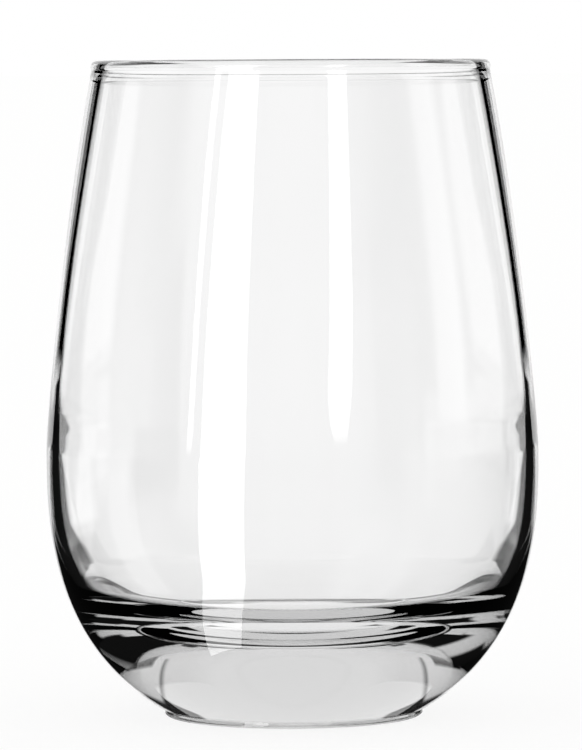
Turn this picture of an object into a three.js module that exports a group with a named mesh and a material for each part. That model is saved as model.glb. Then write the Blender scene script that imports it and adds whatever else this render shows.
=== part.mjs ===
// A stemless wine glass, used as a tumbler: one piece of clear soda-lime glass with a thick base.
// Millimetres, +Z up. The origin is the centre of the ring that the glass stands on.

import * as THREE from 'three';

// Whole glass, outside
const height = 118;
const bellyRadius = 44.3;
const bellyLevel = 48.5;
const rimRadius = 35.9;

// Rim: a fire-polished bead that closes the wall
const rimWall = 2.1;
const beadProud = 0.15;
const rimLean = THREE.MathUtils.degToRad(11);

// Foot: a low disc with a rounded edge, standing on a flat ring around a shallow hollow
const footRadius = 23.4;
const footEdgeRadius = 0.8;
const footSide = 0.3;
const standWidth = 2.4;
const hollowDepth = 1.8;
const bowlSlope = THREE.MathUtils.degToRad(30.5);

// Cavity: the wall is thinnest above the belly, thickens below it and turns into a wide, nearly flat floor
const baseThickness = 14.9;
const bellyWall = 2.05;
const cavityBellyLevel = 53.3;
const turnInset = 5.4;
const turnHeight = 8.4;
const turnSlope = THREE.MathUtils.degToRad(67.5);

// How far each curve keeps the direction it starts or ends with
const bowlReachAtFoot = 25;
const bowlReachAtBelly = 11;
const wallReachAtBelly = 5;
const wallReachAtRim = 25;
const cavityReachAtRim = 36;
const cavityReachAboveBelly = 5;
const cavityReachBelowBelly = 13;
const cavityReachAboveTurn = 8;
const cavityReachBelowTurn = 7.6;
const cavityReachAtFloor = 19;

// Facets
const segments = 64;
const bowlSteps = 14;
const wallSteps = 9;
const turnSteps = 8;
const beadSteps = 10;
const edgeSteps = 4;
const hollowSteps = 4;

const point = (radius, level) => new THREE.Vector2(radius, level);

// The bead's centre, and the level where the two faces of the wall run into it
const beadRadius = rimWall / 2 + beadProud;
const beadCentre = point(rimRadius - beadRadius, height - beadRadius);
const beadAngle = Math.acos(rimWall / 2 / beadRadius);
const wallTop = beadCentre.y - beadRadius * Math.sin(beadAngle);

// Corners of the profile, as radius and level
const underside = point(0, hollowDepth);
const standInner = point(footRadius - footEdgeRadius - standWidth, 0);
const standOuter = point(footRadius - footEdgeRadius, 0);
const edgeTop = point(footRadius, footEdgeRadius);
const heel = point(footRadius, footEdgeRadius + footSide);
const belly = point(bellyRadius, bellyLevel);
const wallOuter = point(beadCentre.x + rimWall / 2, wallTop);
const wallInner = point(beadCentre.x - rimWall / 2, wallTop);
const cavityBelly = point(bellyRadius - bellyWall, cavityBellyLevel);
const floor = point(0, hollowDepth + baseThickness);
const turn = point(bellyRadius - turnInset, floor.y + turnHeight);

// Directions in which the curves leave or reach those corners
const up = point(0, 1);
const outward = point(1, 0);
const intoRim = point(-Math.sin(rimLean), Math.cos(rimLean));
const outOfHeel = point(Math.cos(bowlSlope), Math.sin(bowlSlope));
const outOfTurn = point(Math.cos(turnSlope), Math.sin(turnSlope));

const from = (corner, direction, reach) => corner.clone().addScaledVector(direction, reach);

// The closed half section, from the axis under the base, up the outside, over the rim and down the
// inside to the axis again
const hollow = new THREE.QuadraticBezierCurve(underside, point(standInner.x / 2, hollowDepth), standInner);
const stand = new THREE.LineCurve(standInner, standOuter);
const footEdge = new THREE.EllipseCurve(
  standOuter.x, edgeTop.y, footEdgeRadius, footEdgeRadius, -Math.PI / 2, 0);
const footWall = new THREE.LineCurve(edgeTop, heel);
const bowl = new THREE.CubicBezierCurve(
  heel, from(heel, outOfHeel, bowlReachAtFoot), from(belly, up, -bowlReachAtBelly), belly);
const wall = new THREE.CubicBezierCurve(
  belly, from(belly, up, wallReachAtBelly), from(wallOuter, intoRim, -wallReachAtRim), wallOuter);
const bead = new THREE.EllipseCurve(
  beadCentre.x, beadCentre.y, beadRadius, beadRadius, -beadAngle, Math.PI + beadAngle);
const cavityWall = new THREE.CubicBezierCurve(
  wallInner, from(wallInner, intoRim, -cavityReachAtRim),
  from(cavityBelly, up, cavityReachAboveBelly), cavityBelly);
const cavityBowl = new THREE.CubicBezierCurve(
  cavityBelly, from(cavityBelly, up, -cavityReachBelowBelly),
  from(turn, outOfTurn, cavityReachAboveTurn), turn);
const cavityFloor = new THREE.CubicBezierCurve(
  turn, from(turn, outOfTurn, -cavityReachBelowTurn),
  from(floor, outward, cavityReachAtFloor), floor);

const section = [
  [hollow, hollowSteps],
  [stand, 1],
  [footEdge, edgeSteps],
  [footWall, 1],
  [bowl, bowlSteps],
  [wall, wallSteps],
  [bead, beadSteps],
  [cavityWall, wallSteps],
  [cavityBowl, turnSteps],
  [cavityFloor, bowlSteps],
];
const profile = [underside];
for (const [curve, steps] of section) {
  profile.push(...curve.getPoints(steps).slice(1));
}

const clearGlass = new THREE.MeshStandardMaterial({
  color: 0xf2f6f5,
  roughness: 0.02,
  metalness: 0,
  transparent: true,
  opacity: 0.35,
});

const glassBody = new THREE.Mesh(new THREE.LatheGeometry(profile, segments), clearGlass);
glassBody.name = 'glass_body';
glassBody.rotation.x = Math.PI / 2;

const tumbler = new THREE.Group();
tumbler.add(glassBody);

export default tumbler;
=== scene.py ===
from math import acos, cos, degrees, pi, radians, sin

import bmesh
import bpy
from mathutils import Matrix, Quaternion, Vector
from mathutils.geometry import interpolate_bezier


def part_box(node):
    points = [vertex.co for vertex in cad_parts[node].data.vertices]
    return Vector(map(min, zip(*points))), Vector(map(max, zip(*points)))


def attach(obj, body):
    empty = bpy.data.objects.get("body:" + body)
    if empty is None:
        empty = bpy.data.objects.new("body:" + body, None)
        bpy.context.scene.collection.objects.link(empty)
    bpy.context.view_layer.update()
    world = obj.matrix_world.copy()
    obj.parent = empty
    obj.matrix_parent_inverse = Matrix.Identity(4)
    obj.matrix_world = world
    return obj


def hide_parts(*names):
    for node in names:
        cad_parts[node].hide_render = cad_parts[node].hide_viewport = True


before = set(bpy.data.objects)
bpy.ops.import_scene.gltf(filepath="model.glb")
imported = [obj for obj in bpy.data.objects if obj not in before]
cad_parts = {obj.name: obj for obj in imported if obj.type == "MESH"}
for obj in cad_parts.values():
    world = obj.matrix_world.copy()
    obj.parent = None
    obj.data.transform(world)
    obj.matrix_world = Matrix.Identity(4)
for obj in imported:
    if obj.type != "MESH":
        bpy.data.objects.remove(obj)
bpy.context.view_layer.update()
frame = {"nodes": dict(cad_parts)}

scene = bpy.context.scene
mm = 0.001  # sizes below are in millimetres, Blender works in metres
print("frame loaded:", ", ".join(frame["nodes"]))


def linear(hexColour):
    channels = [int(hexColour[i:i + 2], 16) / 255 for i in (0, 2, 4)]
    return [c / 12.92 if c <= 0.04045 else ((c + 0.055) / 1.055) ** 2.4 for c in channels] + [1]


def setStops(marks, stops):
    # the marks of a colour ramp, in order: position from 0 to 1, and colour
    while len(marks) > len(stops):
        marks.remove(marks[-1])
    for position, colour in stops[1:-1]:
        marks.new(position)
    for mark, (position, colour) in zip(marks, stops):
        mark.position = position
        mark.color = colour


def addNode(tree, kind, settings=None, links=None):
    # stops sets a colour ramp, the name or number of a socket sets that socket, any other name the node itself
    node = tree.nodes.new(kind)
    for name, value in (settings or {}).items():
        if name == "stops":
            setStops(node.color_ramp.elements, value)
        elif isinstance(name, int) or name in node.inputs:
            node.inputs[name].default_value = value
        else:
            setattr(node, name, value)
    for name, socket in (links or {}).items():
        tree.links.new(socket, node.inputs[name])
    return node


def newMaterial(name):
    material = bpy.data.materials.new(name)
    material.use_nodes = True
    material.node_tree.nodes.clear()
    return material, material.node_tree


def newObject(name, bm, material):
    mesh = bpy.data.meshes.new(name)
    bm.to_mesh(mesh)
    bm.free()
    mesh.materials.append(material)
    piece = bpy.data.objects.new(name, mesh)
    scene.collection.objects.link(piece)
    return piece


# The glass: one turned section, the same curves as the CAD solid but far finer, so that it bends light evenly
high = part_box("glass_body")[1]
tumbler = {
    "height": high[2] / mm,
    "bellyRadius": high[0] / mm,
    "bellyLevel": 48.5,
    "rimRadius": 35.9,
    "rimWall": 2.1,
    "beadProud": 0.15,
    "rimLean": 11,
    "footRadius": 23.4,
    "footEdgeRadius": 0.8,
    "footSide": 0.3,
    "standWidth": 2.4,
    "hollowDepth": 1.8,
    "bowlSlope": 30.5,
    "baseThickness": 14.9,
    "bellyWall": 2.05,
    "cavityBellyLevel": 53.3,
    "turnInset": 5.4,
    "turnHeight": 8.4,
    "turnSlope": 67.5,
    "bowlReachAtFoot": 25,  # how far each curve keeps the direction it starts or ends with
    "bowlReachAtBelly": 11,
    "wallReachAtBelly": 5,
    "wallReachAtRim": 25,
    "cavityReachAtRim": 36,
    "cavityReachAboveBelly": 5,
    "cavityReachBelowBelly": 13,
    "cavityReachAboveTurn": 8,
    "cavityReachBelowTurn": 7.6,
    "cavityReachAtFloor": 19,
    "hollowSteps": 24,  # flats along each curve
    "edgeSteps": 10,
    "bowlSteps": 80,
    "wallSteps": 50,
    "beadSteps": 28,
    "turnSteps": 50,
    "floorSteps": 70,
    "turns": 256,  # flats around the axis
    "same": 1e-4,  # points nearer than this are one
    "sharpFrom": 25,  # degrees between two flats that stay an edge
    "ior": 1.52,
    "depthColour": "f7f7f7",
    "depthDensity": 80,
    "waveSize": 18,  # from crest to crest of the waviness that the mould leaves
    "waveHeight": 0.01,
}


def heading(angle):
    return Vector((cos(radians(angle)), sin(radians(angle))))


def arc(centre, radius, start, end, steps):
    return [centre + radius * heading(start + (end - start) * i / steps) for i in range(steps + 1)]


def cubic(a, b, c, d, steps):
    return [p.to_2d() for p in interpolate_bezier(a.to_3d(), b.to_3d(), c.to_3d(), d.to_3d(), steps + 1)]


def glassSection(s):
    up, outward = heading(90), heading(0)
    intoRim = heading(90 + s["rimLean"])
    outOfHeel, outOfTurn = heading(s["bowlSlope"]), heading(s["turnSlope"])

    beadRadius = s["rimWall"] / 2 + s["beadProud"]
    beadCentre = Vector((s["rimRadius"] - beadRadius, s["height"] - beadRadius))
    beadAngle = degrees(acos(s["rimWall"] / 2 / beadRadius))
    wallTop = beadCentre.y - beadRadius * sin(radians(beadAngle))

    underside = Vector((0, s["hollowDepth"]))
    standOuter = Vector((s["footRadius"] - s["footEdgeRadius"], 0))
    standInner = standOuter - s["standWidth"] * outward
    underAim = Vector((standInner.x / 2, s["hollowDepth"]))
    heel = Vector((s["footRadius"], s["footEdgeRadius"] + s["footSide"]))
    belly = Vector((s["bellyRadius"], s["bellyLevel"]))
    wallOuter = Vector((beadCentre.x + s["rimWall"] / 2, wallTop))
    wallInner = Vector((beadCentre.x - s["rimWall"] / 2, wallTop))
    cavityBelly = Vector((s["bellyRadius"] - s["bellyWall"], s["cavityBellyLevel"]))
    floor = Vector((0, s["hollowDepth"] + s["baseThickness"]))
    turn = Vector((s["bellyRadius"] - s["turnInset"], floor.y + s["turnHeight"]))

    # hollow, foot, bowl and wall outside, bead, then wall, bowl and floor inside
    curves = [
        cubic(underside, underside.lerp(underAim, 2 / 3),
              standInner.lerp(underAim, 2 / 3), standInner, s["hollowSteps"]),
        [standInner, standOuter],
        arc(standOuter + s["footEdgeRadius"] * up, s["footEdgeRadius"], -90, 0, s["edgeSteps"]),
        [heel],
        cubic(heel, heel + s["bowlReachAtFoot"] * outOfHeel,
              belly - s["bowlReachAtBelly"] * up, belly, s["bowlSteps"]),
        cubic(belly, belly + s["wallReachAtBelly"] * up,
              wallOuter - s["wallReachAtRim"] * intoRim, wallOuter, s["wallSteps"]),
        arc(beadCentre, beadRadius, -beadAngle, 180 + beadAngle, s["beadSteps"]),
        cubic(wallInner, wallInner - s["cavityReachAtRim"] * intoRim,
              cavityBelly + s["cavityReachAboveBelly"] * up, cavityBelly, s["wallSteps"]),
        cubic(cavityBelly, cavityBelly - s["cavityReachBelowBelly"] * up,
              turn + s["cavityReachAboveTurn"] * outOfTurn, turn, s["turnSteps"]),
        cubic(turn, turn - s["cavityReachBelowTurn"] * outOfTurn,
              floor + s["cavityReachAtFloor"] * outward, floor, s["floorSteps"]),
    ]
    points = [curves[0][0]]
    for curve in curves:
        points += [p for p in curve if (p - points[-1]).length > s["same"]]
    return points


# Soda-lime glass, blown in a turning mould and fire-polished: clear to the eye, with a faint grey depth only
# through the thick base and a slow waviness that makes reflections swim a little
def sodaLimeFirePolished(s):
    material, tree = newMaterial("sodaLimeGlassFirePolished")
    place = addNode(tree, "ShaderNodeTexCoord")
    wave = addNode(tree, "ShaderNodeTexNoise",
                   {"Scale": 1 / (s["waveSize"] * mm), "Detail": 1, "Roughness": 0.4},
                   {"Vector": place.outputs["Object"]})
    bump = addNode(tree, "ShaderNodeBump",
                   {"Strength": 1, "Distance": s["waveHeight"] * mm}, {"Height": wave.outputs["Fac"]})
    clear = addNode(tree, "ShaderNodeBsdfPrincipled",
                    {"Base Color": linear("ffffff"), "Transmission Weight": 1, "Roughness": 0,
                     "IOR": s["ior"]},
                    {"Normal": bump.outputs["Normal"]})
    depth = addNode(tree, "ShaderNodeVolumeAbsorption",
                    {"Color": linear(s["depthColour"]), "Density": s["depthDensity"]})
    addNode(tree, "ShaderNodeOutputMaterial", None,
            {"Surface": clear.outputs["BSDF"], "Volume": depth.outputs["Volume"]})
    return material


def makeGlass(s):
    bm = bmesh.new()
    ring = [bm.verts.new((p.x * mm, 0, p.y * mm)) for p in glassSection(s)]
    edges = [bm.edges.new(pair) for pair in zip(ring, ring[1:])]
    bmesh.ops.spin(bm, geom=ring + edges, axis=(0, 0, 1), cent=(0, 0, 0), angle=2 * pi, steps=s["turns"],
                   use_merge=True)
    bmesh.ops.remove_doubles(bm, verts=bm.verts, dist=s["same"] * mm)
    bmesh.ops.recalc_face_normals(bm, faces=bm.faces)
    for face in bm.faces:
        face.smooth = True
    piece = newObject("clearGlass", bm, sodaLimeFirePolished(s))
    piece.data.set_sharp_from_angle(angle=radians(s["sharpFrom"]))
    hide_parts("glass_body")
    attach(piece, "root")
    return piece


glass = makeGlass(tumbler)
print("glass turned:", len(glass.data.polygons), "faces")


# Stage: a pale paper floor under a white sky; the glass alone sees graduated surroundings, black cards of
# painted shade and glowing panels of painted highlight. Azimuth 0 is straight behind the glass and 90 to its
# right, elevation 0 is level, both in degrees
surroundings = {
    "darkest": 0.008,
    "edge": 1,  # half of the blur at the backdrop's sides
    # elevation, half of the white backdrop's width
    "backdrop": [(-60, 60), (-45, 40), (-36, 28), (-30, 12), (-23, 6.5), (-17, 9.8), (-15, 9.4), (-11.5, 10.3),
                 (-9.8, 12.3), (-8.8, 15.3), (-7.2, 15.5), (-6, 18), (-3.5, 21.5), (-2.5, 29.4), (14, 29.4),
                 (17, 60)],
    # azimuth from, to and blur, elevation from, to and blur, level; alike on both sides
    "patches": [
        ((30.2, 72, 0.4), (-4, 60, 1), 1),  # pale side walls, whose lower edge comes down in two steps
        ((38, 72, 1.5), (-6.2, -3, 0.6), 1),
        ((43.5, 72, 2), (-11.9, -3, 0.6), 1),
        ((50, 112, 20), (-4, 60, 2), 0.95),  # softer light further round
        ((112, 230, 24), (9, 100, 11), 0.65),  # dim light in front
        ((-200, 200, 1), (52, 100, 10), 0.8),  # overhead
        ((-200, 200, 1), (-100, -60, 5), 1),  # underfoot
    ],
    # the same, each on one side, and only in light that has passed through the glass
    "patchesThrough": [
        ((140, 230, 15), (-30, 20, 8), 0.7),  # in front
        ((-230, -140, 15), (-30, 20, 8), 0.7),
        ((-54, -38, 3), (-62, -20.5, 2), 1),  # low at the left
        ((-80, -12, 6), (-62, -40, 4), 1),
        ((113, 157, 6), (-62, 14, 4), 0.9),  # front right
        ((-109, -71, 2), (-9, 9, 2), 1),  # left, level and below
        ((-100, -80, 2), (-45, -2, 2), 1),
    ],
}


def grey(level):
    return (level, level, level, 1)


def share(degree):
    # a direction in degrees as 0 to 1 of the whole turn, which is what a colour ramp takes
    return min(1, max(0, (degree + 180) / 360))


def bandStops(start, end, soft, level=1):
    # dark, then the level from start to end, then dark again; a band wider than the whole turn fills it
    edges = [(start - soft, 0), (start + soft, level), (end - soft, level), (end + soft, 0)]
    stops = [(share(degree), grey(tone)) for degree, tone in edges if abs(degree) <= 180]
    return stops or [(0, grey(level))]


def addPatches(tree, patches, around, rise):
    # the lightest of the patches in each direction
    lightest = None
    for across, upright, level in patches:
        column = addNode(tree, "ShaderNodeValToRGB", {"stops": bandStops(*across)}, {"Fac": around})
        row = addNode(tree, "ShaderNodeValToRGB", {"stops": bandStops(*upright, level)}, {"Fac": rise})
        patch = addNode(tree, "ShaderNodeMath", {"operation": "MULTIPLY"},
                        {0: column.outputs["Color"], 1: row.outputs["Color"]})
        if lightest:
            patch = addNode(tree, "ShaderNodeMath", {"operation": "MAXIMUM"},
                            {0: lightest.outputs[0], 1: patch.outputs[0]})
        lightest = patch
    return lightest.outputs[0]


def makeWorld(s):
    world = bpy.data.worlds.new("whiteStudio")
    scene.world = world
    world.use_nodes = True
    tree = world.node_tree
    tree.nodes.clear()

    # the direction of a ray as shares of the whole turn: around, to either side, and up
    place = addNode(tree, "ShaderNodeTexCoord")
    way = addNode(tree, "ShaderNodeSeparateXYZ", None, {"Vector": place.outputs["Generated"]})
    around = addNode(tree, "ShaderNodeMath", {"operation": "ARCTAN2"},
                     {0: way.outputs["X"], 1: way.outputs["Y"]})
    aside = addNode(tree, "ShaderNodeMath", {"operation": "ABSOLUTE"}, {0: around.outputs[0]})
    rise = addNode(tree, "ShaderNodeMath", {"operation": "ARCSINE"}, {0: way.outputs["Z"]})
    toShare = {"operation": "MULTIPLY_ADD", 1: 0.5 / pi, 2: 0.5}
    around, aside, rise = [addNode(tree, "ShaderNodeMath", toShare, {0: angle.outputs[0]}).outputs[0]
                           for angle in (around, aside, rise)]

    widths = [(share(degree), grey(share(half))) for degree, half in s["backdrop"]]
    halfWidth = addNode(tree, "ShaderNodeValToRGB", {"stops": widths}, {"Fac": rise})
    within = addNode(tree, "ShaderNodeMath", {"operation": "SUBTRACT"},
                     {0: halfWidth.outputs["Color"], 1: aside})
    blur = s["edge"] / 360
    backdrop = addNode(tree, "ShaderNodeMapRange",
                       {"From Min": -blur, "From Max": blur, "To Min": s["darkest"], "To Max": 1},
                       {"Value": within.outputs[0]})

    path = addNode(tree, "ShaderNodeLightPath")
    through = addNode(tree, "ShaderNodeMath", {"operation": "MULTIPLY"},
                      {0: addPatches(tree, s["patchesThrough"], around, rise),
                       1: path.outputs["Is Transmission Ray"]})
    seen = addNode(tree, "ShaderNodeMath", {"operation": "MAXIMUM"},
                   {0: backdrop.outputs["Result"], 1: addPatches(tree, s["patches"], aside, rise)})
    inGlass = addNode(tree, "ShaderNodeMath", {"operation": "MAXIMUM"},
                      {0: seen.outputs[0], 1: through.outputs[0]})
    byGlass = addNode(tree, "ShaderNodeMath", {"operation": "MAXIMUM"},
                      {0: path.outputs["Is Glossy Ray"], 1: path.outputs["Is Transmission Ray"]})
    strength = addNode(tree, "ShaderNodeMix", {"A": 1},
                       {"Factor": byGlass.outputs[0], "B": inGlass.outputs[0]})
    sky = addNode(tree, "ShaderNodeBackground", {"Color": linear("ffffff")},
                  {"Strength": strength.outputs["Result"]})
    addNode(tree, "ShaderNodeOutputWorld", None, {"Surface": sky.outputs["Background"]})


paper = {
    "size": 40000,
    "drop": 0.1,  # how far it lies below the foot
    "fibre": 3,  # across one clump of fibres
    "darkFibre": "f7f7f5",
    "paleFibre": "fdfdfb",
    "whiteShare": 0.88,  # of plain white in what the camera sees; the rest takes the shadow
}


# Matt white paper: no gloss, and a faint unevenness where its fibres clump
def mattPaper(s):
    material, tree = newMaterial("mattWhitePaper")
    place = addNode(tree, "ShaderNodeTexCoord")
    grain = addNode(tree, "ShaderNodeTexNoise",
                    {"Scale": 1 / (s["fibre"] * mm), "Detail": 2}, {"Vector": place.outputs["Object"]})
    tone = addNode(tree, "ShaderNodeValToRGB",
                   {"stops": [(0, linear(s["darkFibre"])), (1, linear(s["paleFibre"]))]},
                   {"Fac": grain.outputs["Fac"]})
    matt = addNode(tree, "ShaderNodeBsdfDiffuse", None, {"Color": tone.outputs["Color"]})
    white = addNode(tree, "ShaderNodeEmission", {"Color": linear("ffffff"), "Strength": 1})
    path = addNode(tree, "ShaderNodeLightPath")
    seen = addNode(tree, "ShaderNodeMapRange",
                   {"To Max": s["whiteShare"]}, {"Value": path.outputs["Is Camera Ray"]})
    both = addNode(tree, "ShaderNodeMixShader", None,
                   {0: seen.outputs["Result"], 1: matt.outputs["BSDF"], 2: white.outputs["Emission"]})
    addNode(tree, "ShaderNodeOutputMaterial", None, {"Surface": both.outputs["Shader"]})
    return material


def makeFloor(s):
    bm = bmesh.new()
    bmesh.ops.create_grid(bm, x_segments=1, y_segments=1, size=s["size"] * mm / 2)
    floor = newObject("paperFloor", bm, mattPaper(s))
    floor.location.z = -s["drop"] * mm
    floor.visible_glossy = floor.visible_transmission = False


makeWorld(surroundings)
makeFloor(paper)
print("sky and floor made")


# Painted shade and highlights for the glass alone: one even colour glowing at the given strength, black at
# none, fading out where its edges are soft
def paintedCard(name, hexColour, strength):
    material, tree = newMaterial(name)
    cover = addNode(tree, "ShaderNodeAttribute", {"attribute_name": "cover"})
    shade = addNode(tree, "ShaderNodeEmission", {"Color": linear(hexColour), "Strength": strength})
    clear = addNode(tree, "ShaderNodeBsdfTransparent")
    both = addNode(tree, "ShaderNodeMixShader", None,
                   {0: cover.outputs["Fac"], 1: clear.outputs["BSDF"], 2: shade.outputs["Emission"]})
    addNode(tree, "ShaderNodeOutputMaterial", None, {"Surface": both.outputs["Shader"]})
    return material


def fade(t, atStart, atEnd):
    # 0 at soft ends, 1 in between
    return min(1, t / atStart if atStart else 1) * min(1, (1 - t) / atEnd if atEnd else 1)


def makeCard(name, material, s):
    # radius: at the first and last edge; rows, first to last: level, azimuth from and to
    # soft: shares that fade at the left, right, first and last edge
    # mirrored: seen in the outer surface of the glass; through: seen by light that has been in the glass
    rows, soft, steps = s["rows"], s.get("soft", (0, 0, 0, 0)), s.get("steps", 48)
    near, far = s["radius"]
    bm = bmesh.new()
    cover = bm.verts.layers.float.new("cover")
    grid = []
    for i in range(steps + 1):
        radius = near + (far - near) * (i / steps)
        along = i / steps * (len(rows) - 1)
        k = min(int(along), len(rows) - 2)
        level, start, end = [a + (b - a) * (along - k) for a, b in zip(rows[k], rows[k + 1])]
        line = []
        for j in range(steps + 1):
            azimuth = radians(start + (end - start) * j / steps)
            line.append(bm.verts.new((radius * mm * sin(azimuth), radius * mm * cos(azimuth), level * mm)))
            line[-1][cover] = fade(j / steps, *soft[:2]) * fade(i / steps, *soft[2:])
        grid.append(line)
    for line, nextLine in zip(grid, grid[1:]):
        for corners in zip(line, nextLine, nextLine[1:], line[1:]):
            bm.faces.new(corners)
    card = newObject(name, bm, material)
    card.visible_camera = card.visible_diffuse = card.visible_shadow = False
    card.visible_glossy, card.visible_transmission = s.get("mirrored", True), s.get("through", True)


# one of each on either side
pairedCards = {
    # painted shade: the dark line along the wall
    "wallCard": {"radius": (250, 250), "soft": (0.06, 0.08, 0.06, 0.15),
                 "rows": [(50, 27.5, 42.5), (120, 30, 48), (200, 31, 50)]},
    # painted shade: the dark lower sides, seen only in the outer surface
    "bellyCard": {"radius": (250, 250), "through": False, "soft": (0.1, 0.1, 0.1, 0.08),
                  "rows": [(-15, 37, 64), (20, 37, 61), (34, 37, 51), (78, 36.5, 43.5)]},
}
blackCards = {
    # painted shade: the dark parts of the base
    "lipCardRight": {"radius": (120, 120), "soft": (0.1, 0.1, 0, 0.2),
                     "rows": [(0, 72, 112), (50, 72, 112)]},
    "lipCardLeft": {"radius": (120, 120), "soft": (0.1, 0.1, 0, 0.2),
                    "rows": [(0, -130, -112), (50, -130, -112)]},
    # a flat black ring just under the rim, seen only through the glass: a painted dark line along the rim
    "rimRing": {"radius": (36.4, 38.4), "rows": [(114.8, -180, 180), (114.79, -180, 180)],
                "mirrored": False, "steps": 96},
}
# painted highlights: the bright strips down the front, from glowing panels that light nothing and show only in
# the outer surface of the glass
litPanels = {
    "panelLeft": {"radius": (550, 550), "through": False,
                  "rows": [(-900, -138.6, -107.6), (-270, -156.6, -134.3), (75, -159.3, -138.6),
                           (150, -159.3, -139.4), (290, -161.9, -144.1), (500, -165.6, -151.7)]},
    "panelLeftEdge": {"radius": (550, 550), "through": False, "soft": (0, 0, 0.25, 0),
                      "rows": [(60, -134, -131.6), (90, -134.7, -132.2), (158, -135.8, -133.2),
                               (220, -137.7, -134.4), (480, -145, -141.2)]},
    "panelRight": {"radius": (550, 550), "through": False, "soft": (0, 0, 0.2, 0),
                   "rows": [(85, 156, 161), (106, 154.8, 163), (124, 152.9, 164), (166, 151.1, 162.2),
                            (227, 150, 160.6), (480, 144.5, 155.9)]},
}
litStrength = 4.5

# painted shade: black cards that only the glass sees, hidden from camera, diffuse light and shadow
black = paintedCard("paintedShadeInGlass", "050505", 0)
for name, card in pairedCards.items():
    otherSide = [(level, -start, -end) for level, start, end in card["rows"]]
    makeCard(name + "Right", black, card)
    makeCard(name + "Left", black, {**card, "rows": otherSide})
for name, card in blackCards.items():
    makeCard(name, black, card)

# painted highlights: panels that glow but light nothing, seen only in the glass's outer surface
lit = paintedCard("paintedHighlightPanel", "ffffff", litStrength)
for name, panel in litPanels.items():
    makeCard(name, lit, panel)
print("stage set")


# Camera: a long lens just above the rim
view = {
    "place": Vector((0, -0.985, 0.121)),  # metres
    "aim": Vector((-0.0002, 0, 0.0613)),
    "roll": -0.3,
    "lens": 263,
}
lens = bpy.data.cameras.new("camera")
lens.lens = view["lens"]
camera = bpy.data.objects.new("camera", lens)
scene.collection.objects.link(camera)
camera.location = view["place"]
aimed = (view["aim"] - view["place"]).to_track_quat("-Z", "Y")
rolled = aimed @ Quaternion((0, 0, 1), radians(view["roll"]))
camera.rotation_euler = rolled.to_euler()
scene.camera = camera
scene.view_settings.view_transform = "Standard"
print("camera placed")

bpy.context.view_layer.update()
